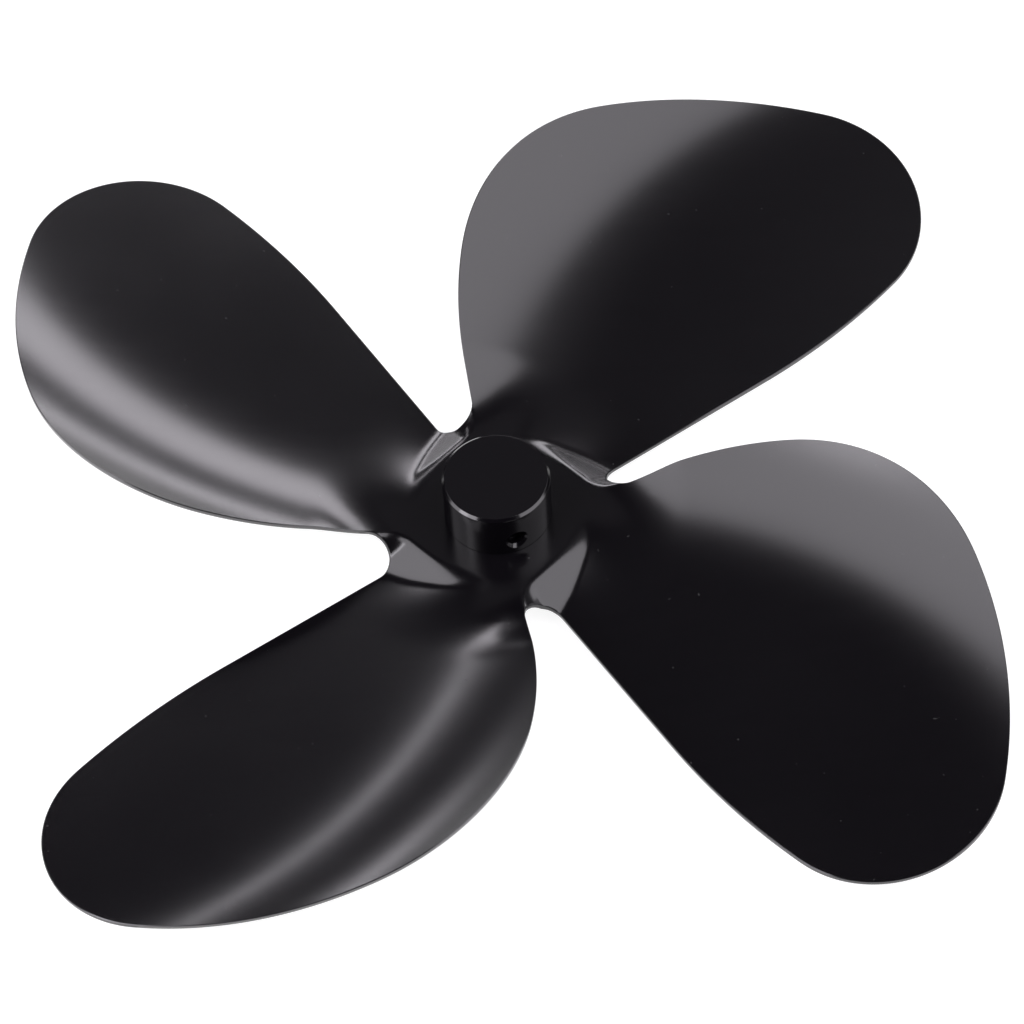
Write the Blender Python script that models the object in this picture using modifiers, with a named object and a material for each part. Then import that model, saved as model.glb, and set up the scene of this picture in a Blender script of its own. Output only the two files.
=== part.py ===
"""Four-blade fan propeller: one pressed sheet of blades on a turned hub that is clamped to a motor shaft.

Metres, +Z up and out of the front. The hub's axis is the Z axis, and the rear end of the hub is at z = 0.
"""

import math

import bmesh
import bpy
from mathutils import Vector
from mathutils.geometry import delaunay_2d_cdt

MM = 0.001
COLLECTION = "fan_propeller"
BLADES = 4
SEAM = 0.06 * MM              # gap left between pieces that are clamped face to face

# Levels along the axis, counted from the hub's rear end
SHEET = 0.8 * MM              # thickness of the blade sheet
NUT_HEIGHT = 2.2 * MM
LOCK_WASHER = 0.6 * MM
BACKING_WASHER = 0.8 * MM
SPIGOT_PROUD = 0.5 * MM       # thread end that stands out of the nut
NUT_BASE = SPIGOT_PROUD
LOCK_BASE = NUT_BASE + NUT_HEIGHT + SEAM
WASHER_BASE = LOCK_BASE + LOCK_WASHER + SEAM
SHEET_BASE = WASHER_BASE + BACKING_WASHER + SEAM
SHEET_TOP = SHEET_BASE + SHEET
HUB_BASE = SHEET_TOP + SEAM

# Hub, with a spigot that passes through the sheet
HUB_RADIUS = 8.0 * MM
HUB_HEIGHT = 8.3 * MM
HUB_CHAMFER = 0.38 * MM
SPIGOT_RADIUS = 4.0 * MM
SPIGOT_CHAMFER = 0.3 * MM
SHAFT_RADIUS = 1.58 * MM      # running size for a 3 mm motor shaft
NOSE_WALL = 1.8 * MM          # metal left between the shaft bore and the nose
HUB_NOSE = HUB_BASE + HUB_HEIGHT

# Radial set screw, M3
SCREW_AZIMUTH = -71.5
SCREW_Z = HUB_BASE + 2.7 * MM
SCREW_RADIUS = 1.27 * MM        # plain, at the thread's pitch diameter
SCREW_HOLE_RADIUS = 1.35 * MM
SCREW_COUNTERSINK = 1.85 * MM
SCREW_LENGTH = 4.0 * MM
SCREW_TIP = 2.1 * MM          # distance of the screw's point from the hub's axis
SCREW_POINT_RADIUS = 0.75 * MM
SOCKET_FLATS = 1.5 * MM
SOCKET_DEPTH = 1.6 * MM

# Rear hardware
SHEET_HOLE_RADIUS = SPIGOT_RADIUS + 0.08 * MM
WASHER_RADIUS = 8.0 * MM
LOCK_RADIUS = 6.6 * MM
NUT_FLATS = 12.0 * MM
THREAD_CLEARANCE = 0.08 * MM

# Blade outline: a straight leading edge, then arcs (radius, heading at the arc's end) round to the trailing
# edge, and a round-ended notch up to the next blade
LEAD_OFFSET = 2.1 * MM        # distance of the leading edge's line from the axis
LEAD_HEADING = 31.0
LEAD_LENGTH = 47.3 * MM       # from the line's nearest point to the axis
EDGE_ARCS = (
    (113.8 * MM, 44.6),
    (17.7 * MM, 165.6),
    (64.8 * MM, 196.6),
    (33.1 * MM, 258.0),
    (54.8 * MM, 276.8),
)
NOTCH_RADIUS = 3.0 * MM
EDGE_STEP = 2.4 * MM
NOTCH_STEP = 0.8 * MM

# Height of a blade over the flat centre disc
LEAD_DROP = 3.26 * MM         # the leading edge lies this far below the disc
SIDE_TILT = 0.159             # rise across the blade, away from the leading edge
LENGTH_TILT = 0.011           # rise along the leading edge
CURL_CENTRE = (84.3 * MM, -4.9 * MM)
CURL_RADIUS = 78.0 * MM       # the bend line that the trailing edge curls up from
CURL_EASE = 7.75 * MM
CURL_RATE = 22.7              # slope gained per metre past the bend line
CURL_REACH = 38.0 * MM        # the slope stays constant past this

# Step between the centre disc and the blades
NOTCH_ANGLE = 14.0            # direction of the first notch
NOTCH_BLEND = 4.6             # half angle over which one blade's root steps down to the next
NOTCH_ROUND = 0.12            # share of that blend which is rounded at each end
STEP_ANGLE = 42.8             # direction in which the first blade's step goes down
STEP_START = 12.75 * MM       # distance of its straight bend line from the axis
STEP_SLOPE = 0.57
STEP_TOP_ROUND = 0.35 * MM    # change of height over which each bend of the step is rounded
STEP_FOOT_ROUND = 0.6 * MM
STEP_TIP_ROUND = 1.6 * MM       # the top bend widens by this much to the end of the step
RISE_START = 13.0 * MM        # the trailing side leaves the disc gently between these radii
RISE_END = 28.0 * MM
RISE_FROM_ANGLE = 30.0        # and the step gives way to that gentle rise between these directions
RISE_TO_ANGLE = 90.0
GRID = 3.3 * MM               # spacing of the points that let a blade bend
RING_RADII = (5.6, 8.0, 10.2, 11.4, 12.2, 13.0, 13.7, 14.5, 15.3, 16.1, 17.0, 18.0,
              19.2, 20.4)
RING_POINTS = 96
ROUND_STEPS = 48


def rotated(point, degrees):
    turn = math.radians(degrees)
    return Vector((
        point[0] * math.cos(turn) - point[1] * math.sin(turn),
        point[0] * math.sin(turn) + point[1] * math.cos(turn),
    ))


def heading(degrees):
    return Vector((math.cos(math.radians(degrees)), math.sin(math.radians(degrees))))


def left_of(direction):
    return Vector((-direction.y, direction.x))


# Blade sheet

def straight(start, end, step):
    """Points from start up to, but not at, end."""
    count = max(1, round((end - start).length / step))
    return [start.lerp(end, i / count) for i in range(count)]


def arc(start, direction, radius, turn, step):
    """Points of a left-hand arc (right-hand for a negative turn) after its start, and the end direction."""
    centre = start + left_of(direction) * (radius if turn > 0 else -radius)
    count = max(3, round(abs(math.radians(turn)) * radius / step))
    points = [centre + rotated(start - centre, turn * i / count) for i in range(1, count + 1)]
    return points, rotated(direction, turn)


def run_to_line(point, direction, other_point, other_direction):
    """How far the point travels along its direction to reach the other line."""
    across = left_of(other_direction)
    return (other_point - point).dot(across) / direction.dot(across)


def blade_outline():
    """One blade's edge, from the end of its notch to the end of the next notch."""
    direction = heading(LEAD_HEADING)
    foot = -left_of(direction) * LEAD_OFFSET
    next_direction = left_of(direction)
    next_foot = left_of(foot)
    position = foot + direction * LEAD_LENGTH
    curve = [position]
    angle = LEAD_HEADING
    for radius, end_angle in EDGE_ARCS:
        points, direction = arc(curve[-1], direction, radius, end_angle - angle, EDGE_STEP)
        curve += points
        angle = end_angle
    shifted_root = curve[-1] - left_of(direction) * NOTCH_RADIUS
    shifted_lead = next_foot - left_of(next_direction) * NOTCH_RADIUS
    root_run = run_to_line(shifted_root, direction, shifted_lead, next_direction)
    notch_start = curve[-1] + direction * root_run
    turn = LEAD_HEADING + 90 - angle
    notch, direction = arc(notch_start, direction, NOTCH_RADIUS, turn, NOTCH_STEP)
    lead_start = left_of(notch[-1]) * -1
    lead = straight(lead_start, curve[0], EDGE_STEP)
    root = straight(curve[-1], notch_start, EDGE_STEP)
    return lead + curve[:-1] + root + [notch_start] + notch[:-1]


def sheet_outline():
    blade = blade_outline()
    return [rotated(point, 360 / BLADES * k) for k in range(BLADES) for point in blade]


def ease(value):
    """Zero below 0, one above 1 and smooth between."""
    value = min(1.0, max(0.0, value))
    return value * value * (3 - 2 * value)


def blade_height(point):
    """Height of the first blade's face over the disc."""
    direction = heading(LEAD_HEADING)
    along = point.dot(direction)
    across = point.dot(left_of(direction)) + LEAD_OFFSET
    past = (point - Vector(CURL_CENTRE)).length - CURL_RADIUS
    past = (past + math.hypot(past, CURL_EASE)) / 2
    bent = min(past, CURL_REACH)
    curl = CURL_RATE * (bent * bent / 2 + bent * (past - bent))
    return across * SIDE_TILT + along * LENGTH_TILT + curl - LEAD_DROP


def rounded_max(a, b, size):
    """The larger value, with the corner between the two rounded where they differ by less than size."""
    overlap = max(0.0, size - abs(a - b))
    return max(a, b) + overlap * overlap / (4 * size)


def ramp(value):
    """Zero below 0, one above 1, straight between and rounded at both ends."""
    return -rounded_max(-rounded_max(value, 0.0, NOTCH_ROUND), -1.0, NOTCH_ROUND)


def stepped_height(point):
    """Height of the first blade, of the flat disc inside it and of what joins the two."""
    angle = math.degrees(math.atan2(point.y, point.x))
    gentle = ease((angle - RISE_FROM_ANGLE) / (RISE_TO_ANGLE - RISE_FROM_ANGLE))
    risen = ease((point.length - RISE_START) / (RISE_END - RISE_START))
    face = blade_height(point) * (1 - gentle * (1 - risen))
    step = (STEP_START - point.dot(heading(STEP_ANGLE))) * STEP_SLOPE
    down = -rounded_max(-step, 0.0, STEP_TOP_ROUND + STEP_TIP_ROUND * gentle)
    return rounded_max(down, face, STEP_FOOT_ROUND * (1 - gentle) + 1e-6)


def sheet_height(point):
    """Height of the pressed sheet's face over the disc, anywhere on the sheet."""
    sector = 360 / BLADES
    angle = math.degrees(math.atan2(point.y, point.x)) - NOTCH_ANGLE
    blade = math.floor(angle / sector)
    from_notch = angle - sector * blade
    own = stepped_height(rotated(point, -sector * blade))
    if from_notch < NOTCH_BLEND * 1.5:
        before = stepped_height(rotated(point, -sector * (blade - 1)))
        return before + (own - before) * ramp(from_notch / NOTCH_BLEND / 2 + 0.5)
    if from_notch > sector - NOTCH_BLEND * 1.5:
        after = stepped_height(rotated(point, -sector * (blade + 1)))
        return own + (after - own) * ramp((from_notch - sector) / NOTCH_BLEND / 2 + 0.5)
    return own


def sheet_slope(point):
    step = 0.05 * MM
    across = sheet_height(point + Vector((step, 0))) - sheet_height(point - Vector((step, 0)))
    up = sheet_height(point + Vector((0, step))) - sheet_height(point - Vector((0, step)))
    return math.hypot(across, up) / (2 * step)


def inside(point, loop):
    """Whether the point lies inside the closed loop."""
    hit = False
    for a, b in zip(loop, loop[1:] + loop[:1]):
        if (a.y > point.y) != (b.y > point.y):
            if point.x < a.x + (point.y - a.y) / (b.y - a.y) * (b.x - a.x):
                hit = not hit
    return hit


def clearance(point, loop):
    return min((point - other).length for other in loop)


def bend_points(outline):
    """Rings over the disc and a grid over the blades, kept clear of the edge."""
    points = []
    for radius in RING_RADII:
        for i in range(RING_POINTS):
            points.append(heading(360 * i / RING_POINTS) * radius * MM)
    reach = max(point.length for point in outline)
    rows = int(reach / GRID) + 1
    ring_limit = RING_RADII[-1] * MM + GRID * 0.4
    for row in range(-rows, rows + 1):
        for column in range(-rows, rows + 1):
            point = Vector(((column + row % 2 / 2) * GRID, row * GRID * 0.87))
            if point.length > ring_limit and inside(point, outline):
                if clearance(point, outline) > GRID * 0.45:
                    points.append(point)
    return [p for p in points if p.length > ring_limit or clearance(p, outline) > 0.35 * MM]


def flat_blank():
    """Points and triangles of the flat blank with its centre hole."""
    outline = sheet_outline()
    hole = [heading(360 * i / ROUND_STEPS) * SHEET_HOLE_RADIUS for i in range(ROUND_STEPS)]
    points = outline + hole + bend_points(outline)
    outer = list(range(len(outline)))
    inner = [len(outline) + i for i in range(len(hole))]
    rims = [(loop[i], loop[(i + 1) % len(loop)]) for loop in (outer, inner) for i in range(len(loop))]
    found = delaunay_2d_cdt(points, rims, [outer], 1, 1e-7)
    corners = found[0]
    faces = []
    for face in found[2]:
        middle = sum((corners[i] for i in face), Vector((0, 0))) / len(face)
        if middle.length > SHEET_HOLE_RADIUS * 0.99:
            faces.append(face)
    return corners, faces


def blade_sheet():
    """The blank pressed to height: a face side, a rear side and the cut edge between them."""
    corners, faces = flat_blank()
    shape = bmesh.new()
    top = []
    bottom = []
    for corner in corners:
        height = SHEET_TOP + sheet_height(corner)
        stretch = min(1.4, math.hypot(1, sheet_slope(corner)))
        top.append(shape.verts.new((corner.x, corner.y, height)))
        bottom.append(shape.verts.new((corner.x, corner.y, height - SHEET * stretch)))
    for face in faces:
        shape.faces.new([top[i] for i in face])
        shape.faces.new([bottom[i] for i in reversed(face)])
    pair = dict(zip(top, bottom))
    rim = [edge for edge in shape.edges if edge.is_boundary and edge.verts[0] in pair]
    for edge in rim:
        a, b = edge.link_loops[0].vert, edge.link_loops[0].link_loop_next.vert
        shape.faces.new((b, a, pair[a], pair[b]))
    loose = [vert for vert in shape.verts if not vert.link_faces]
    bmesh.ops.delete(shape, geom=loose, context="VERTS")
    sheet = object_from(shape, "blade_sheet")
    sheet.data.set_sharp_from_angle(angle=math.radians(50))
    return sheet


# Shared builders

def object_from(shape, name):
    mesh = bpy.data.meshes.new(name)
    shape.to_mesh(mesh)
    shape.free()
    made = bpy.data.objects.new(name, mesh)
    parts.objects.link(made)
    made.data.shade_smooth()
    return made


def turned(name, profile):
    """A Screw modifier on a profile that runs top to bottom on its outer side."""
    shape = bmesh.new()
    corners = [shape.verts.new((radius, 0, z)) for radius, z in profile]
    for a, b in zip(corners, corners[1:]):
        shape.edges.new((a, b))
    if profile[0] == profile[-1]:
        bmesh.ops.remove_doubles(shape, verts=shape.verts, dist=1e-7)
    made = object_from(shape, name)
    screw = made.modifiers.new("turn", "SCREW")
    screw.steps = ROUND_STEPS
    screw.render_steps = ROUND_STEPS
    screw.use_merge_vertices = True
    screw.merge_threshold = 1e-6
    screw.use_smooth_shade = True
    return made


def cylinder(name, radius, low, high, sides=ROUND_STEPS, top_radius=None):
    """A cylinder or cone along Z, between two levels."""
    shape = bmesh.new()
    bmesh.ops.create_cone(
        shape, cap_ends=True, segments=sides, radius1=radius,
        radius2=radius if top_radius is None else top_radius, depth=high - low,
    )
    bmesh.ops.translate(shape, verts=shape.verts, vec=(0, 0, (low + high) / 2))
    return object_from(shape, name)


def use_as_cutter(made):
    parts.objects.unlink(made)
    cutters.objects.link(made)
    made.hide_render = True
    made.display_type = "WIRE"
    return made


def cut(target, cutter):
    use_as_cutter(cutter)
    boolean = target.modifiers.new(cutter.name, "BOOLEAN")
    boolean.operation = "DIFFERENCE"
    boolean.solver = "EXACT"
    boolean.object = cutter


def lay_radially(made):
    """Turns a shape built along Z so that +Z points out of the hub along the set screw's axis."""
    made.rotation_euler = (0, math.radians(90), math.radians(SCREW_AZIMUTH))
    made.location = (0, 0, SCREW_Z)


def finish(made, colour, roughness, metallic):
    material = bpy.data.materials.new(made.name)
    material.use_nodes = True
    shader = material.node_tree.nodes["Principled BSDF"]
    shader.inputs["Base Color"].default_value = (*colour, 1)
    shader.inputs["Roughness"].default_value = roughness
    shader.inputs["Metallic"].default_value = metallic
    made.data.materials.append(material)


# Hub and hardware

def hub():
    bore_end = HUB_NOSE - NOSE_WALL
    drill_point = SHAFT_RADIUS * 0.5
    made = turned("hub", (
        (0, HUB_NOSE),
        (HUB_RADIUS - HUB_CHAMFER, HUB_NOSE),
        (HUB_RADIUS, HUB_NOSE - HUB_CHAMFER),
        (HUB_RADIUS, HUB_BASE),
        (SPIGOT_RADIUS, HUB_BASE),
        (SPIGOT_RADIUS, SPIGOT_CHAMFER),
        (SPIGOT_RADIUS - SPIGOT_CHAMFER, 0),
        (SHAFT_RADIUS + SPIGOT_CHAMFER, 0),
        (SHAFT_RADIUS, SPIGOT_CHAMFER),
        (SHAFT_RADIUS, bore_end - drill_point),
        (0, bore_end),
    ))
    hole = cylinder("set_screw_hole", SCREW_HOLE_RADIUS, 0, HUB_RADIUS * 1.3, 24)
    lay_radially(hole)
    cut(made, hole)
    reach = MM
    sink = cylinder(
        "set_screw_countersink", SCREW_COUNTERSINK - reach, HUB_RADIUS - reach, HUB_RADIUS + reach, 24,
        SCREW_COUNTERSINK + reach,
    )
    lay_radially(sink)
    cut(made, sink)
    return made


def set_screw():
    """Built along Z from its point at SCREW_TIP outwards, then laid along its radial axis."""
    point_chamfer = SCREW_RADIUS - SCREW_POINT_RADIUS
    outer = SCREW_TIP + SCREW_LENGTH
    edge = 0.2 * MM
    made = turned("set_screw", (
        (0, outer),
        (SCREW_RADIUS - edge, outer),
        (SCREW_RADIUS, outer - edge),
        (SCREW_RADIUS, SCREW_TIP + point_chamfer),
        (SCREW_POINT_RADIUS, SCREW_TIP),
        (0, SCREW_TIP),
    ))
    made.modifiers["turn"].steps = 24
    made.modifiers["turn"].render_steps = 24
    socket = cylinder("set_screw_socket", SOCKET_FLATS / math.sqrt(3), outer - SOCKET_DEPTH, outer + MM, 6)
    lay_radially(socket)
    cut(made, socket)
    lay_radially(made)
    return made


def ring(name, inner, outer, low, high, chamfer=0.0):
    return turned(name, (
        (inner, high),
        (outer - chamfer, high),
        (outer, high - chamfer),
        (outer, low + chamfer),
        (outer - chamfer, low),
        (inner, low),
        (inner, high),
    ) if chamfer else (
        (inner, high),
        (outer, high),
        (outer, low),
        (inner, low),
        (inner, high),
    ))


def hub_nut():
    """A thin hexagon nut: a hexagon with turned corners and a plain bore."""
    corner = NUT_FLATS / math.sqrt(3)
    made = cylinder("hub_nut", corner, NUT_BASE, NUT_BASE + NUT_HEIGHT, 6)
    bore = cylinder("hub_nut_bore", SPIGOT_RADIUS + THREAD_CLEARANCE, -MM, LOCK_BASE + MM)
    cut(made, bore)
    made.data.set_sharp_from_angle(angle=math.radians(30))
    return made


# Scene

for old in list(bpy.data.objects):
    bpy.data.objects.remove(old, do_unlink=True)
parts = bpy.data.collections.new(COLLECTION)
cutters = bpy.data.collections.new(COLLECTION + "_cutters")
bpy.context.scene.collection.children.link(parts)
bpy.context.scene.collection.children.link(cutters)

finish(blade_sheet(), (0.010, 0.009, 0.011), 0.28, 0.9)
finish(hub(), (0.009, 0.008, 0.010), 0.22, 0.9)
finish(set_screw(), (0.02, 0.02, 0.022), 0.35, 0.9)
opening = SPIGOT_RADIUS + THREAD_CLEARANCE
finish(
    ring("backing_washer", opening, WASHER_RADIUS, WASHER_BASE, WASHER_BASE + BACKING_WASHER, 0.15 * MM),
    (0.55, 0.55, 0.56), 0.35, 1.0,
)
finish(
    ring("lock_washer", opening, LOCK_RADIUS, LOCK_BASE, LOCK_BASE + LOCK_WASHER),
    (0.45, 0.45, 0.46), 0.4, 1.0,
)
finish(hub_nut(), (0.55, 0.55, 0.56), 0.35, 1.0)
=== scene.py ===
"""Looks of the fan propeller: the smooth pressed blades, the turned hub, its fasteners and a plain studio."""

import math

import bmesh
import bpy
import numpy as np
from mathutils import Matrix, Vector
from mathutils.geometry import delaunay_2d_cdt

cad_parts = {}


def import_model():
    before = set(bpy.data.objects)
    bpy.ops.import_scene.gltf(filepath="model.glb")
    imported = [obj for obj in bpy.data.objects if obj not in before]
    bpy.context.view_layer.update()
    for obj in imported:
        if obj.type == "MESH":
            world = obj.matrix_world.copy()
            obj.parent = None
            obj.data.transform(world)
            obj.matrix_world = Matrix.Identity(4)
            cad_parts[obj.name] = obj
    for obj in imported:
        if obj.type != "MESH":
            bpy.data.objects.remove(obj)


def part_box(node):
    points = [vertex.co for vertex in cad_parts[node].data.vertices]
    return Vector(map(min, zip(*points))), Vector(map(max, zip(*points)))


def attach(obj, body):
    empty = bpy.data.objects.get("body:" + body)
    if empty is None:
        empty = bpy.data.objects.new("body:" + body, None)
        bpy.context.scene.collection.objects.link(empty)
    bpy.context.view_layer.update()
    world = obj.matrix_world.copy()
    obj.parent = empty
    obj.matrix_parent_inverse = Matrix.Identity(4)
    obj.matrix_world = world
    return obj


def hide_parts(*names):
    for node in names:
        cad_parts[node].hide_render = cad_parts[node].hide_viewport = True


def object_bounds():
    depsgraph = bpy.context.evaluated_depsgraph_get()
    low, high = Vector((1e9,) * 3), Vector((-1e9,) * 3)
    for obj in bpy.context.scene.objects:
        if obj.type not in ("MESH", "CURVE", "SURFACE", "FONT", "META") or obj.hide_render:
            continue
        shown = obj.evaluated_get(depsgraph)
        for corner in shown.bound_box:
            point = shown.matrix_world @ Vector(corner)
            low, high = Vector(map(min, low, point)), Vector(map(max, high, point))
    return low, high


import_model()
cad_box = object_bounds()

MM = 0.001
BLADES = 4
SECTOR = 360 / BLADES

# Levels and sizes that come from the frame
SHEET = 0.8 * MM
CLAMP_GAP = 0.06 * MM         # between clamped faces, as in the frame
SHEET_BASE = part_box("backing_washer")[1].z + CLAMP_GAP
DISC = SHEET_BASE + SHEET
HUB_BASE = DISC + CLAMP_GAP
HUB_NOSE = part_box("hub")[1].z
HUB_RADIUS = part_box("hub")[1].x
HUB_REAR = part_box("hub")[0].z

# Hub
HUB_CHAMFER = 0.38 * MM
HUB_CORNER = 0.02 * MM        # rounding of each turned corner
SPIGOT_RADIUS = 4.0 * MM
SPIGOT_CHAMFER = 0.3 * MM
SHAFT_RADIUS = 1.58 * MM
NOSE_WALL = 1.8 * MM
SHEET_HOLE_RADIUS = 4.08 * MM

# Set screw
SCREW_AZIMUTH = -71.5
SCREW_Z = (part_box("set_screw")[0].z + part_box("set_screw")[1].z) / 2
SCREW_RADIUS = 1.27 * MM
SCREW_HOLE_RADIUS = 1.35 * MM
SCREW_COUNTERSINK = 1.85 * MM
SCREW_TIP = 2.1 * MM
SCREW_LENGTH = 4.0 * MM
SCREW_PITCH = 0.5 * MM
SCREW_THREAD_DEPTH = 0.16 * MM
SCREW_CHAMFER = 0.2 * MM
SCREW_CONE = 0.9 * MM         # length of the point below the thread
SOCKET_FLATS = 1.5 * MM
SOCKET_DEPTH = 1.6 * MM

# Washers and nut
WASHER_CORNER = 0.15 * MM
SPRING_CORNER = 0.1 * MM
SLIT_WIDTH = 0.35 * MM
SLIT_TILT = 30
NUT_CHAMFER_TILT = 30
NUT_CHAMFER_START = 0.97      # of the nut's half width over the flats

# Blade outline: a straight leading edge, then arcs (radius, heading at the arc's end), and a round notch
LEAD_OFFSET = 2.1 * MM
LEAD_HEADING = 31.0
LEAD_LENGTH = 47.3 * MM
EDGE_ARCS = (
    (113.8 * MM, 44.6),
    (17.7 * MM, 165.6),
    (64.8 * MM, 196.6),
    (33.1 * MM, 258.0),
    (54.8 * MM, 276.8),
)
NOTCH_RADIUS = 3.0 * MM
EDGE_ROUND = 0.12 * MM        # softened corner of the cut edge

# Height of a blade over the flat centre disc
LEAD_DROP = 3.26 * MM         # the leading edge lies this far below the disc
SIDE_TILT = 0.159             # rise across the blade, away from the leading edge
LENGTH_TILT = 0.011           # rise along the leading edge
CURL_CENTRE = (84.3 * MM, -4.9 * MM)
CURL_RADIUS = 78.0 * MM       # the bend line that the trailing edge curls up from
CURL_EASE = 7.75 * MM
CURL_RATE = 22.7              # slope gained per metre past the bend line
CURL_REACH = 38.0 * MM        # the slope stays constant past this

# Step between the centre disc and the blades
NOTCH_ANGLE = 14.0            # direction of the first notch
NOTCH_BLEND = 4.6             # half angle over which one blade's root steps down to the next
NOTCH_ROUND = 0.12            # share of that blend which is rounded at each end
STEP_ANGLE = 42.8             # direction in which the first blade's step goes down
STEP_START = 12.75 * MM       # distance of its straight bend line from the axis
STEP_SLOPE = 0.57
STEP_TOP_ROUND = 0.35 * MM    # change of height over which each bend of the step is rounded
STEP_FOOT_ROUND = 0.6 * MM
STEP_TIP_ROUND = 1.6 * MM     # the top bend widens by this much to the end of the step
RISE_START = 13.0 * MM        # the trailing side leaves the disc gently between these radii
RISE_END = 28.0 * MM
RISE_FROM_ANGLE = 30.0        # and the step gives way to that gentle rise between these directions
RISE_TO_ANGLE = 90.0

# Fineness of the meshes
EDGE_STEP = 0.5 * MM          # along the cut edge
GRID = 1.1 * MM               # over the blades
RING_START = 4.6              # rings over the disc, in millimetres
RING_END = 22.6
RING_STEP = 0.4
ROUND_STEPS = 128
CORNER_STEPS = 3
CORNER_SUPPORT = 1.4          # distance of a corner's further points, in lengths cut off it
SLANT_LIMIT = 1.4             # the sheet is measured no thicker than this many times along Z
SLOPE_STEP = 0.05 * MM        # distance over which a slope is taken

# Camera: looks at the hub's axis in the plane of the disc
CAMERA_DISTANCE = 0.7547
CAMERA_ELEVATION = 54.49
CAMERA_ROLL = 4.06
CAMERA_LENS = 179.2
CAMERA_SHIFT = (0.0135, -0.0019)

# Studio: upright softboxes round the object, as (name, near low corner, far high corner, radiance).
# Each is flat across X or Y and faces the hub's axis, or lies flat overhead; heights are over the disc.
SOFTBOXES = (
    ("back_box", (-0.150, 0.476, 0.157), (0.217, 0.476, 0.286), 5.3),
    ("back_box_corner", (-0.446, 0.480, 0.281), (-0.158, 0.480, 0.312), 6.2),
    ("back_strip", (-0.233, 0.476, 0.034), (0.222, 0.476, 0.072), 6.1),
    ("right_box", (0.344, -0.586, 0.100), (0.344, 0.800, 1.520), 0.12),
    ("right_box_centre", (0.338, -0.421, 0.102), (0.338, 0.208, 1.530), 2.4),
    ("left_box", (-0.373, -0.240, 0.113), (-0.373, 0.175, 1.570), 2.75),
    ("left_box_centre", (-0.379, -0.450, 0.124), (-0.379, -0.119, 0.615), 4.4),
    ("overhead_panel", (-0.18, 0.45, 0.900), (0.18, 0.82, 0.900), 0.10),
)
SOFTBOX_TINT = (1.0, 0.965, 1.03)
FLOOR_GLOW = 0.9
SKY_GLOW = 0.006


# Outline of the sheet

def rotated(point, degrees):
    turn = math.radians(degrees)
    return Vector((
        point[0] * math.cos(turn) - point[1] * math.sin(turn),
        point[0] * math.sin(turn) + point[1] * math.cos(turn),
    ))


def heading(degrees):
    return Vector((math.cos(math.radians(degrees)), math.sin(math.radians(degrees))))


def left_of(direction):
    return Vector((-direction.y, direction.x))


def straight(start, end):
    """Points from start up to, but not at, end."""
    count = max(1, round((end - start).length / EDGE_STEP))
    return [start.lerp(end, i / count) for i in range(count)]


def arc(start, direction, radius, turn):
    """Points of a left-hand arc (right-hand for a negative turn) after its start, and the end direction."""
    centre = start + left_of(direction) * (radius if turn > 0 else -radius)
    count = max(8, round(abs(math.radians(turn)) * radius / EDGE_STEP))
    points = [centre + rotated(start - centre, turn * i / count) for i in range(1, count + 1)]
    return points, rotated(direction, turn)


def run_to_line(point, direction, other_point, other_direction):
    """How far the point travels along its direction to reach the other line."""
    across = left_of(other_direction)
    return (other_point - point).dot(across) / direction.dot(across)


def blade_outline():
    """One blade's edge, from the end of its notch to the end of the next notch."""
    direction = heading(LEAD_HEADING)
    foot = -left_of(direction) * LEAD_OFFSET
    next_direction = left_of(direction)
    next_foot = left_of(foot)
    curve = [foot + direction * LEAD_LENGTH]
    angle = LEAD_HEADING
    for radius, end_angle in EDGE_ARCS:
        points, direction = arc(curve[-1], direction, radius, end_angle - angle)
        curve += points
        angle = end_angle
    shifted_root = curve[-1] - left_of(direction) * NOTCH_RADIUS
    shifted_lead = next_foot - left_of(next_direction) * NOTCH_RADIUS
    root_run = run_to_line(shifted_root, direction, shifted_lead, next_direction)
    notch_start = curve[-1] + direction * root_run
    notch, direction = arc(notch_start, direction, NOTCH_RADIUS, LEAD_HEADING + 90 - angle)
    lead_start = -left_of(notch[-1])
    lead = straight(lead_start, curve[0])
    root = straight(curve[-1], notch_start)
    return lead + curve[:-1] + root + [notch_start] + notch[:-1]


def sheet_outline():
    blade = blade_outline()
    return [rotated(point, SECTOR * k) for k in range(BLADES) for point in blade]


def inset(loop, distance):
    """The anticlockwise loop moved inwards by the distance."""
    moved = []
    for before, point, after in zip(loop[-1:] + loop[:-1], loop, loop[1:] + loop[:1]):
        moved.append(point + left_of((after - before).normalized()) * distance)
    return moved


# Height of the pressed sheet, for arrays of points

def ease(value):
    value = np.clip(value, 0, 1)
    return value * value * (3 - 2 * value)


def blade_height(x, y):
    """Height of the first blade's face over the disc."""
    cos, sin = heading(LEAD_HEADING)
    along = x * cos + y * sin
    across = y * cos - x * sin + LEAD_OFFSET
    past = np.hypot(x - CURL_CENTRE[0], y - CURL_CENTRE[1]) - CURL_RADIUS
    past = (past + np.hypot(past, CURL_EASE)) / 2
    bent = np.minimum(past, CURL_REACH)
    curl = CURL_RATE * (bent * bent / 2 + bent * (past - bent))
    return across * SIDE_TILT + along * LENGTH_TILT + curl - LEAD_DROP


def rounded_max(a, b, size):
    """The larger value, with the corner between the two rounded where they differ by less than size."""
    overlap = np.maximum(0, size - np.abs(a - b))
    return np.maximum(a, b) + overlap * overlap / (4 * size)


def ramp(value):
    """Zero below 0, one above 1, straight between and rounded at both ends."""
    return -rounded_max(-rounded_max(value, 0, NOTCH_ROUND), -1, NOTCH_ROUND)


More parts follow.
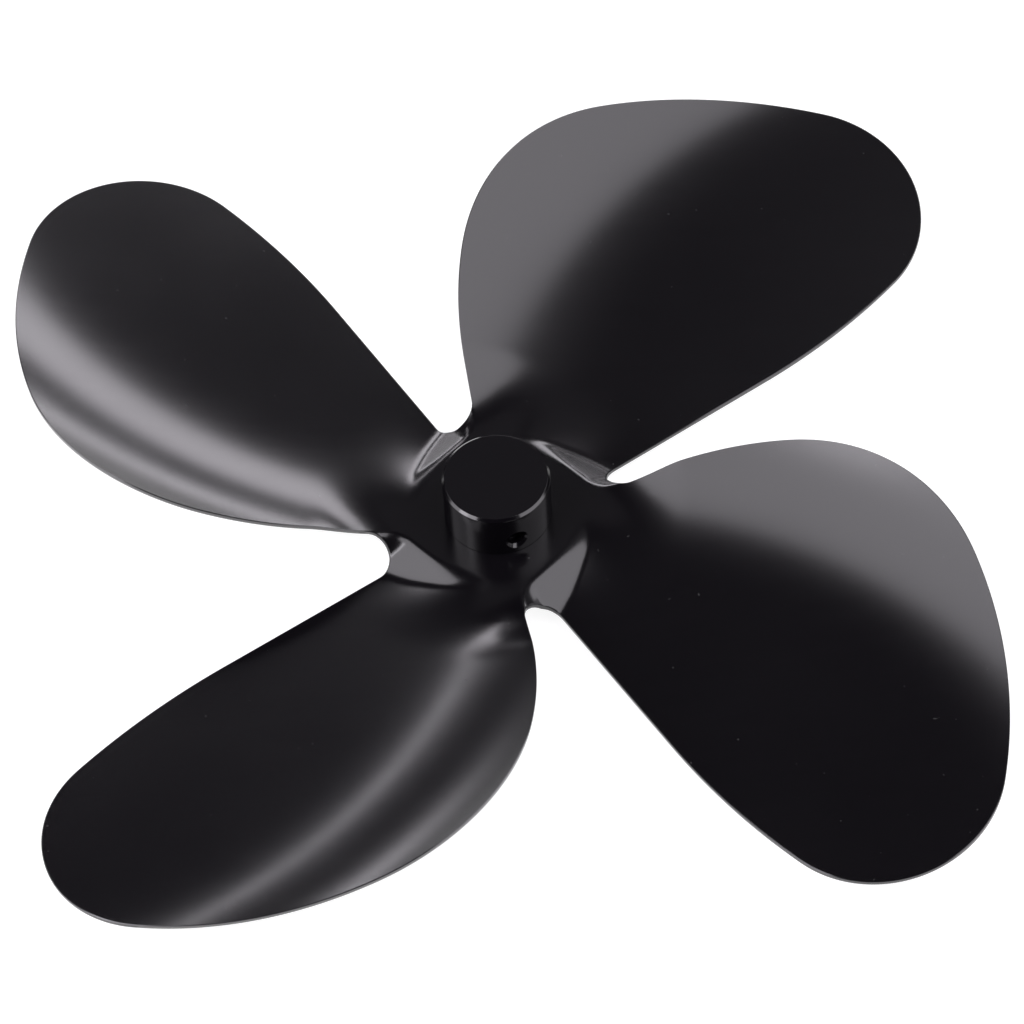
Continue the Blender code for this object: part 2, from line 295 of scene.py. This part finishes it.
def stepped_height(x, y, blade):
    """Height of the numbered blades, of the flat disc inside them and of what joins the two."""
    turn = np.radians(-SECTOR * blade)
    x, y = x * np.cos(turn) - y * np.sin(turn), x * np.sin(turn) + y * np.cos(turn)
    angle = np.degrees(np.arctan2(y, x))
    gentle = ease((angle - RISE_FROM_ANGLE) / (RISE_TO_ANGLE - RISE_FROM_ANGLE))
    risen = ease((np.hypot(x, y) - RISE_START) / (RISE_END - RISE_START))
    face = blade_height(x, y) * (1 - gentle * (1 - risen))
    cos, sin = heading(STEP_ANGLE)
    step = (STEP_START - x * cos - y * sin) * STEP_SLOPE
    down = -rounded_max(-step, 0, STEP_TOP_ROUND + STEP_TIP_ROUND * gentle)
    return rounded_max(down, face, STEP_FOOT_ROUND * (1 - gentle) + 1e-6)


def sheet_height(x, y):
    """Height of the pressed sheet's face over the disc, anywhere on the sheet."""
    angle = np.degrees(np.arctan2(y, x)) - NOTCH_ANGLE
    blade = np.floor(angle / SECTOR)
    from_notch = angle - blade * SECTOR
    own = stepped_height(x, y, blade)
    before = stepped_height(x, y, blade - 1)
    after = stepped_height(x, y, blade + 1)
    to_before = 1 - ramp(from_notch / NOTCH_BLEND / 2 + 0.5)
    to_after = ramp((from_notch - SECTOR) / NOTCH_BLEND / 2 + 0.5)
    return own + (before - own) * to_before + (after - own) * to_after


def sheet_slope(x, y):
    across = sheet_height(x + SLOPE_STEP, y) - sheet_height(x - SLOPE_STEP, y)
    up = sheet_height(x, y + SLOPE_STEP) - sheet_height(x, y - SLOPE_STEP)
    return np.hypot(across, up) / (2 * SLOPE_STEP)


# Meshes

def object_from(shape, name):
    mesh = bpy.data.meshes.new(name)
    shape.to_mesh(mesh)
    shape.free()
    made = bpy.data.objects.new(name, mesh)
    bpy.context.scene.collection.objects.link(made)
    mesh.shade_smooth()
    return made


def shade(made, crease):
    """Smooth shading, but for edges sharper than the crease angle."""
    made.data.shade_smooth()
    made.data.set_sharp_from_angle(angle=math.radians(crease))
    return made


def bend_points(outline):
    """Rings over the disc and a grid over the blades, kept clear of the edge's own two rows of points."""
    rings = []
    radius = RING_START
    while radius < RING_END:
        count = max(48, round(2 * math.pi * radius / RING_STEP))
        rings += [heading(360 * i / count) * radius * MM for i in range(count)]
        radius += RING_STEP
    edge = np.array(outline)
    reach = np.hypot(*edge.T).max()
    rows = int(reach / GRID) + 1
    steps = np.arange(-rows, rows + 1)
    column, row = np.meshgrid(steps, steps)
    x = ((column + row % 2 / 2) * GRID).ravel()
    y = (row * GRID * 0.87).ravel()
    kept = inside(x, y, edge) & (np.hypot(x, y) > RING_END * MM + GRID * 0.3)
    grid = np.column_stack([x[kept], y[kept]])
    grid = grid[clearance(grid, edge) > EDGE_ROUND * 2 + GRID * 0.4]
    rings = np.array(rings)
    rings = rings[inside(*rings.T, edge)]
    rings = rings[clearance(rings, edge) > EDGE_ROUND * 2 + RING_STEP * MM * 0.5]
    return [Vector(point) for point in np.vstack([rings, grid])]


def inside(x, y, edge):
    """Whether each point lies inside the closed edge."""
    hit = np.zeros(len(x), bool)
    for a, b in zip(edge, np.roll(edge, -1, axis=0)):
        if a[1] == b[1]:
            continue
        spans = (a[1] > y) != (b[1] > y)
        hit ^= spans & (x < a[0] + (y - a[1]) / (b[1] - a[1]) * (b[0] - a[0]))
    return hit


def clearance(points, edge):
    nearest = np.full(len(points), np.inf)
    for corner in edge:
        nearest = np.minimum(nearest, np.hypot(*(points - corner).T))
    return nearest


def blade_sheet():
    """The pressed sheet: smooth face and rear, and a cut edge with softened corners.

    A second row of points inside the edge keeps the shading of the corners off the face.
    """
    outline = sheet_outline()
    hole = [heading(-360 * i / ROUND_STEPS) * SHEET_HOLE_RADIUS for i in range(ROUND_STEPS)]
    face_loops = [inset(outline, EDGE_ROUND), inset(hole, EDGE_ROUND)]
    support = inset(outline, EDGE_ROUND * 2)
    points = face_loops[0] + face_loops[1] + support + bend_points(outline)
    outer = list(range(len(outline)))
    inner = [len(outline) + i for i in range(len(hole))]
    rims = [(loop[i], loop[(i + 1) % len(loop)]) for loop in (outer, inner) for i in range(len(loop))]
    found = delaunay_2d_cdt(points, rims, [outer], 1, 1e-8)
    corners = np.array(found[0])
    faces = [face for face in found[2] if np.hypot(*corners[face].mean(0)) > SHEET_HOLE_RADIUS]
    shape = bmesh.new()
    # painted highlight: the cut edge's vertices are marked so that the edge gets a lighter grey base colour
    edge_highlight = shape.verts.layers.float.new("cut_edge")

    def layer(flat, drop):
        """Vertices over the flat points: drop 0 is the face, 1 the rear."""
        x, y = np.array(flat).T
        thickness = SHEET * np.minimum(SLANT_LIMIT, np.hypot(1, sheet_slope(x, y)))
        z = DISC + sheet_height(x, y) - drop * thickness
        return [shape.verts.new((px, py, pz)) for px, py, pz in zip(x, y, z)]

    face_side = layer(corners, 0)
    rear_side = layer(corners, 1)
    for face in faces:
        shape.faces.new([face_side[i] for i in face])
        shape.faces.new([rear_side[i] for i in reversed(face)])
    soft = EDGE_ROUND / SHEET
    for start, loop in ((0, outline), (len(outline), hole)):
        upper = layer(loop, soft)
        lower = layer(loop, 1 - soft)
        for vert in upper + lower:
            vert[edge_highlight] = 1
        count = len(loop)
        bands = (face_side[start:start + count], upper, lower, rear_side[start:start + count])
        for a, b in zip(bands, bands[1:]):
            for i in range(count):
                j = (i + 1) % count
                shape.faces.new((a[i], b[i], b[j], a[j]))
    loose = [vert for vert in shape.verts if not vert.link_faces]
    bmesh.ops.delete(shape, geom=loose, context="VERTS")
    bmesh.ops.recalc_face_normals(shape, faces=shape.faces)
    return shade(object_from(shape, "pressed_blades"), 40)


def turned(name, profile, steps=ROUND_STEPS):
    """A profile of (radius, z) points turned about Z; one that ends where it starts makes a ring."""
    shape = bmesh.new()
    closed = profile[0] == profile[-1]
    points = profile[:-1] if closed else profile
    rows = []
    for radius, z in points:
        if radius < 1e-7:
            rows.append([shape.verts.new((0, 0, z))] * steps)
        else:
            rows.append([
                shape.verts.new((*(heading(360 * i / steps) * radius), z)) for i in range(steps)
            ])
    pairs = list(zip(rows, rows[1:] + rows[:1])) if closed else list(zip(rows, rows[1:]))
    for upper, lower in pairs:
        for i in range(steps):
            j = (i + 1) % steps
            corners = [upper[i], upper[j], lower[j], lower[i]]
            corners = [corner for n, corner in enumerate(corners) if corner not in corners[:n]]
            shape.faces.new(list(reversed(corners)))
    bmesh.ops.recalc_face_normals(shape, faces=shape.faces)
    return shade(object_from(shape, name), 30)


def rounded(profile, radius):
    """The profile with each inner corner replaced by a small arc-like run of points.

    A further point on either side of each corner keeps the shading of the flat faces flat.
    """
    points = [profile[0]]
    for before, corner, after in zip(profile, profile[1:], profile[2:]):
        before, corner, after = Vector(before), Vector(corner), Vector(after)
        into = before - corner
        away = after - corner
        cut = min(radius, into.length / 3, away.length / 3)
        start = corner + into.normalized() * cut
        end = corner + away.normalized() * cut
        points.append(tuple(corner + into.normalized() * cut * CORNER_SUPPORT))
        for i in range(CORNER_STEPS + 1):
            t = i / CORNER_STEPS
            points.append(tuple(start * (1 - t) ** 2 + corner * 2 * t * (1 - t) + end * t * t))
        points.append(tuple(corner + away.normalized() * cut * CORNER_SUPPORT))
    points.append(profile[-1])
    return points


def apply_cut(target, cutters):
    """Cuts each cutter out of the target and removes it."""
    for cutter in cutters:
        modifier = target.modifiers.new(cutter.name, "BOOLEAN")
        modifier.operation = "DIFFERENCE"
        modifier.solver = "EXACT"
        modifier.object = cutter
    graph = bpy.context.evaluated_depsgraph_get()
    cut = bpy.data.meshes.new_from_object(target.evaluated_get(graph))
    target.modifiers.clear()
    target.data = cut
    for cutter in cutters:
        bpy.data.objects.remove(cutter)


def lay_radially(made):
    """Turns a shape built along Z so that +Z points out of the hub along the set screw's axis."""
    turn = Matrix.Rotation(math.radians(SCREW_AZIMUTH), 4, "Z") @ Matrix.Rotation(math.radians(90), 4, "Y")
    made.data.transform(Matrix.Translation((0, 0, SCREW_Z)) @ turn)
    return made


def hub():
    """The turned hub with its spigot, blind shaft bore and countersunk set screw hole."""
    bore_end = HUB_NOSE - NOSE_WALL
    made = turned("turned_hub", rounded([
        (0, HUB_NOSE),
        (HUB_RADIUS - HUB_CHAMFER, HUB_NOSE),
        (HUB_RADIUS, HUB_NOSE - HUB_CHAMFER),
        (HUB_RADIUS, HUB_BASE),
        (SPIGOT_RADIUS, HUB_BASE),
        (SPIGOT_RADIUS, HUB_REAR + SPIGOT_CHAMFER),
        (SPIGOT_RADIUS - SPIGOT_CHAMFER, HUB_REAR),
        (SHAFT_RADIUS + SPIGOT_CHAMFER, HUB_REAR),
        (SHAFT_RADIUS, HUB_REAR + SPIGOT_CHAMFER),
        (SHAFT_RADIUS, bore_end - SHAFT_RADIUS * 0.5),
        (0, bore_end),
    ], HUB_CORNER))
    hole = turned("hole", [
        (0, HUB_RADIUS * 1.3), (SCREW_HOLE_RADIUS, HUB_RADIUS * 1.3), (SCREW_HOLE_RADIUS, 0), (0, 0),
    ], 48)
    sink = turned("countersink", [
        (0, HUB_RADIUS + MM), (SCREW_COUNTERSINK + MM, HUB_RADIUS + MM),
        (SCREW_COUNTERSINK - MM, HUB_RADIUS - MM), (0, HUB_RADIUS - MM),
    ], 48)
    apply_cut(made, [lay_radially(hole), lay_radially(sink)])
    return shade(made, 30)


def set_screw():
    """A threaded screw with a hexagon socket and a cup point."""
    outer = SCREW_TIP + SCREW_LENGTH
    profile = [(0, outer), (SCREW_RADIUS - SCREW_CHAMFER, outer)]
    z = outer - SCREW_CHAMFER
    while z > SCREW_TIP + SCREW_CONE:
        profile += [(SCREW_RADIUS, z), (SCREW_RADIUS - SCREW_THREAD_DEPTH, z - SCREW_PITCH / 2)]
        z -= SCREW_PITCH
    profile += [(0.75 * MM, SCREW_TIP), (0.45 * MM, SCREW_TIP), (0, SCREW_TIP + 0.25 * MM)]
    made = turned("hex_socket_set_screw", profile, 48)
    corner = SOCKET_FLATS / math.sqrt(3)
    socket = turned("socket", [
        (0, outer + MM), (corner, outer + MM),
        (corner, outer - SOCKET_DEPTH), (0, outer - SOCKET_DEPTH - 0.3 * MM),
    ], 6)
    apply_cut(made, [socket])
    return shade(lay_radially(made), 25)


def flat_ring(name, node, inner, corner):
    """A washer with softly rounded corners in the place of its CAD node."""
    low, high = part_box(node)
    middle = (low.z + high.z) / 2
    profile = rounded([
        (inner, middle), (inner, high.z), (high.x, high.z), (high.x, low.z), (inner, low.z), (inner, middle),
    ], corner)
    return turned(name, profile)


def split_lock_washer():
    """A spring washer: a ring with a slanted saw cut."""
    made = flat_ring("split_lock_washer", "lock_washer", SHEET_HOLE_RADIUS, SPRING_CORNER)
    low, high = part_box("lock_washer")
    shape = bmesh.new()
    bmesh.ops.create_cube(shape, size=1)
    slit = Matrix.Translation(((SPIGOT_RADIUS + high.x) / 2, 0, (low.z + high.z) / 2))
    tilt = Matrix.Rotation(math.radians(SLIT_TILT), 4, "X")
    size = Matrix.Diagonal((high.x, SLIT_WIDTH, 4 * MM, 1))
    bmesh.ops.transform(shape, matrix=slit @ tilt @ size, verts=shape.verts)
    apply_cut(made, [object_from(shape, "slit")])
    return shade(made, 30)


def hub_nut():
    """A thin hexagon nut whose corners are turned off at both ends."""
    low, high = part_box("hub_nut")
    corner = max(high.x, high.y)
    shape = bmesh.new()
    bmesh.ops.create_cone(
        shape, cap_ends=True, segments=6, radius1=corner, radius2=corner, depth=high.z - low.z,
    )
    turn = Matrix.Rotation(math.radians(0 if high.y < high.x else 30), 4, "Z")
    place = Matrix.Translation((0, 0, (low.z + high.z) / 2))
    bmesh.ops.transform(shape, matrix=place @ turn, verts=shape.verts)
    made = object_from(shape, "thin_hexagon_nut")
    start = corner * math.cos(math.radians(30)) * NUT_CHAMFER_START
    reach = corner * 1.2
    drop = (reach - start) * math.tan(math.radians(NUT_CHAMFER_TILT))
    for end, side in ((high.z, 1), (low.z, -1)):
        over = end + side * MM
        cutter = turned("corner_cut", [
            (start, end), (start, over), (reach, over), (reach, end - side * drop), (start, end),
        ], 96)
        apply_cut(made, [cutter])
    bore = turned("bore", [
        (0, high.z + MM), (SHEET_HOLE_RADIUS, high.z + MM), (SHEET_HOLE_RADIUS, low.z - MM), (0, low.z - MM),
    ], 96)
    apply_cut(made, [bore])
    return shade(made, 20)


# Materials

ANODISED_DARK = (0.0026, 0.0022, 0.0031)
ANODISED_LIGHT = (0.0034, 0.0029, 0.0040)
ANODISED_IOR = 1.62


class Nodes:
    """A material's node tree, with short calls to add and link nodes."""

    def __init__(self, name):
        self.material = bpy.data.materials.new(name)
        self.material.use_nodes = True
        self.tree = self.material.node_tree
        self.shader = self.tree.nodes["Principled BSDF"]

    def add(self, kind, **settings):
        node = self.tree.nodes.new("ShaderNode" + kind)
        for key, value in settings.items():
            setattr(node, key, value)
        return node

    def link(self, source, target):
        self.tree.links.new(source, target)

    def set(self, node, **values):
        for key, value in values.items():
            node.inputs[key.replace("_", " ")].default_value = value
        return node

    def position(self):
        return self.add("TexCoord").outputs["Object"]

    def noise(self, vector, scale, detail, stretch=(1, 1, 1)):
        mapping = self.add("Mapping")
        mapping.inputs["Scale"].default_value = stretch
        self.link(vector, mapping.inputs["Vector"])
        texture = self.add("TexNoise")
        texture.inputs["Scale"].default_value = scale
        texture.inputs["Detail"].default_value = detail
        self.link(mapping.outputs["Vector"], texture.inputs["Vector"])
        return texture.outputs["Fac"]

    def ramp(self, value, low, high, to_low=0.0, to_high=1.0):
        """A clamped straight ramp from (low, to_low) to (high, to_high)."""
        node = self.add("MapRange")
        node.clamp = True
        for key, number in zip(("From Min", "From Max", "To Min", "To Max"), (low, high, to_low, to_high)):
            node.inputs[key].default_value = number
        self.link(value, node.inputs["Value"])
        return node.outputs["Result"]

    def math(self, operation, a, b=None):
        node = self.add("Math", operation=operation)
        for socket, value in zip(node.inputs, (a, b)):
            if isinstance(value, (int, float)):
                socket.default_value = value
            elif value is not None:
                self.link(value, socket)
        return node.outputs["Value"]

    def mix_colours(self, factor, a, b):
        node = self.add("Mix", data_type="RGBA")
        self.link(factor, node.inputs["Factor"])
        for name, colour in (("A", a), ("B", b)):
            socket = [s for s in node.inputs if s.name == name and s.type == "RGBA"][0]
            if isinstance(colour, tuple):
                socket.default_value = (*colour, 1)
            else:
                self.link(colour, socket)
        return [s for s in node.outputs if s.type == "RGBA"][0]

    def bump(self, height, distance):
        node = self.add("Bump")
        node.inputs["Distance"].default_value = distance
        node.inputs["Strength"].default_value = 1.0
        self.link(height, node.inputs["Height"])
        self.link(node.outputs["Normal"], self.shader.inputs["Normal"])


def black_anodised_sheet():
    """Brushed along X before it was anodised, so very fine straight lines show in the highlights."""
    m = Nodes("black_anodised_sheet")
    place = m.position()
    fine = m.noise(place, 1, 3, (60, 6500, 600))
    coarse = m.noise(place, 1, 2, (22, 1500, 200))
    brush = m.math("ADD", m.math("MULTIPLY", fine, 0.65), m.math("MULTIPLY", coarse, 0.35))
    cloud = m.noise(place, 35, 3)
    specks = m.ramp(m.noise(place, 1500, 0), 0.86, 0.90)
    edge = m.add("Attribute", attribute_name="cut_edge").outputs["Fac"]
    tone = m.mix_colours(m.ramp(brush, 0.3, 0.7), ANODISED_DARK, ANODISED_LIGHT)
    tone = m.mix_colours(specks, tone, (0.03, 0.03, 0.03))
    # painted highlight: the cut edge is lightened towards grey in the base colour
    tone = m.mix_colours(m.ramp(edge, 0.3, 1, 0, 0.5), tone, (0.05, 0.05, 0.052))
    m.link(tone, m.shader.inputs["Base Color"])
    rough = m.math("ADD", m.ramp(brush, 0.3, 0.7, 0.185, 0.205), m.ramp(cloud, 0.3, 0.7, -0.01, 0.01))
    m.link(rough, m.shader.inputs["Roughness"])
    m.set(m.shader, Metallic=0.0, IOR=ANODISED_IOR)
    m.bump(brush, 0.0014 * MM)
    return m.material


def black_anodised_hub():
    """Turned before it was anodised: fine rings on the nose and lines round the side."""
    m = Nodes("black_anodised_hub")
    place = m.position()
    split = m.add("SeparateXYZ")
    m.link(place, split.inputs["Vector"])
    x, y, z = split.outputs
    radius = m.math("SQRT", m.math("ADD", m.math("MULTIPLY", x, x), m.math("MULTIPLY", y, y)))
    joined = m.add("CombineXYZ")
    m.link(radius, joined.inputs["X"])
    m.link(z, joined.inputs["Z"])
    rings = m.noise(joined.outputs["Vector"], 1, 2, (9000, 1, 9000))
    cloud = m.noise(place, 160, 3)
    tone = m.mix_colours(m.ramp(rings, 0.35, 0.65), ANODISED_DARK, ANODISED_LIGHT)
    m.link(tone, m.shader.inputs["Base Color"])
    rough = m.math("ADD", m.ramp(rings, 0.3, 0.7, 0.10, 0.13), m.ramp(cloud, 0.3, 0.7, -0.01, 0.01))
    m.link(rough, m.shader.inputs["Roughness"])
    m.set(m.shader, Metallic=0.0, IOR=ANODISED_IOR)
    m.bump(rings, 0.0005 * MM)
    return m.material


def black_oxide_steel():
    m = Nodes("black_oxide_steel")
    place = m.position()
    mottle = m.noise(place, 900, 4)
    tone = m.mix_colours(m.ramp(mottle, 0.35, 0.7), (0.10, 0.10, 0.11), (0.20, 0.19, 0.185))
    m.link(tone, m.shader.inputs["Base Color"])
    m.link(m.ramp(mottle, 0.3, 0.7, 0.28, 0.42), m.shader.inputs["Roughness"])
    m.set(m.shader, Metallic=0.9)
    m.bump(mottle, 0.004 * MM)
    return m.material


def zinc_plated_steel(name, light, dark, roughness):
    m = Nodes(name)
    place = m.position()
    grain = m.noise(place, 1400, 3)
    cloud = m.noise(place, 140, 3)
    tone = m.mix_colours(m.ramp(cloud, 0.35, 0.65), dark, light)
    m.link(tone, m.shader.inputs["Base Color"])
    rough = m.ramp(grain, 0.3, 0.7, roughness - 0.06, roughness + 0.08)
    m.link(rough, m.shader.inputs["Roughness"])
    m.set(m.shader, Metallic=1.0)
    m.bump(grain, 0.003 * MM)
    return m.material


def studio_floor():
    """Pale and self-lit, so that the object's shadows wash out."""
    m = Nodes("studio_floor")
    tint = m.ramp(m.noise(m.position(), 3, 2), 0.3, 0.7, 0.28, 0.32)
    m.link(tint, m.shader.inputs["Base Color"])
    m.set(m.shader, Roughness=0.9)
    m.shader.inputs["Specular IOR Level"].default_value = 0.0
    m.shader.inputs["Emission Color"].default_value = (1, 1, 1, 1)
    m.shader.inputs["Emission Strength"].default_value = FLOOR_GLOW
    return m.material


# Studio

def place_piece(made, node, body, material):
    """Gives the piece its material and puts it in the place of its CAD node."""
    made.data.materials.clear()
    made.data.materials.append(material)
    for polygon in made.data.polygons:
        polygon.material_index = 0
    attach(made, body)
    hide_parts(node)


def floor():
    shape = bmesh.new()
    bmesh.ops.create_grid(shape, x_segments=1, y_segments=1, size=4)
    bmesh.ops.translate(shape, verts=shape.verts, vec=(0, 0, cad_box[0][2] - 0.2 * MM))
    made = object_from(shape, "floor")
    made.data.materials.append(studio_floor())


def softbox(name, low, high, radiance):
    """A rectangular light between two corners, upright and lit on the side towards the hub."""
    low, high = Vector(low), Vector(high)
    middle = (low + high) / 2
    size = high - low
    light = bpy.data.lights.new(name, "AREA")
    light.shape = "RECTANGLE"
    if size.z == 0:
        facing = Vector((0, 0, 1))
        light.size, light.size_y = size.x, size.y
    else:
        facing = Vector((middle.x, 0, 0)) if size.x == 0 else Vector((0, middle.y, 0))
        light.size, light.size_y = size.x + size.y, size.z
    light.energy = radiance * math.pi * light.size * light.size_y
    light.color = SOFTBOX_TINT
    made = bpy.data.objects.new(name, light)
    made.location = Vector((0, 0, DISC)) + middle
    made.rotation_euler = facing.to_track_quat("Z", "Y").to_euler()
    made.visible_camera = False
    bpy.context.scene.collection.objects.link(made)


def camera():
    lift, roll = math.radians(CAMERA_ELEVATION), math.radians(CAMERA_ROLL)
    back = Vector((0, -math.cos(lift), math.sin(lift)))
    level = Vector((1, 0, 0))
    upright = Vector((0, math.sin(lift), math.cos(lift)))
    right = level * math.cos(roll) - upright * math.sin(roll)
    up = level * math.sin(roll) + upright * math.cos(roll)
    data = bpy.data.cameras.new("camera")
    data.lens = CAMERA_LENS
    data.sensor_width = 36
    data.shift_x, data.shift_y = CAMERA_SHIFT
    data.clip_start = 0.01
    made = bpy.data.objects.new("camera", data)
    place = Matrix((right, up, back)).transposed().to_4x4()
    place.translation = Vector((0, 0, DISC)) + back * CAMERA_DISTANCE
    made.matrix_world = place
    bpy.context.scene.collection.objects.link(made)
    bpy.context.scene.camera = made


def world():
    made = bpy.data.worlds.new("studio")
    made.use_nodes = True
    background = made.node_tree.nodes["Background"]
    background.inputs["Color"].default_value = (1, 1, 1, 1)
    background.inputs["Strength"].default_value = SKY_GLOW
    bpy.context.scene.world = made


camera()
world()
floor()
for softbox_values in SOFTBOXES:
    softbox(*softbox_values)
bpy.context.scene.view_settings.view_transform = "Standard"

place_piece(blade_sheet(), "blade_sheet", "propeller", black_anodised_sheet())
place_piece(hub(), "hub", "propeller", black_anodised_hub())
place_piece(set_screw(), "set_screw", "set_screw", black_oxide_steel())
zinc = zinc_plated_steel("zinc_plated_steel", (0.58, 0.59, 0.61), (0.46, 0.47, 0.49), 0.34)
spring = zinc_plated_steel("zinc_plated_spring_steel", (0.44, 0.45, 0.47), (0.34, 0.34, 0.36), 0.40)
washer = flat_ring("backing_washer_stamped", "backing_washer", SHEET_HOLE_RADIUS, WASHER_CORNER)
place_piece(washer, "backing_washer", "propeller", zinc)
place_piece(split_lock_washer(), "lock_washer", "propeller", spring)
place_piece(hub_nut(), "hub_nut", "propeller", zinc)
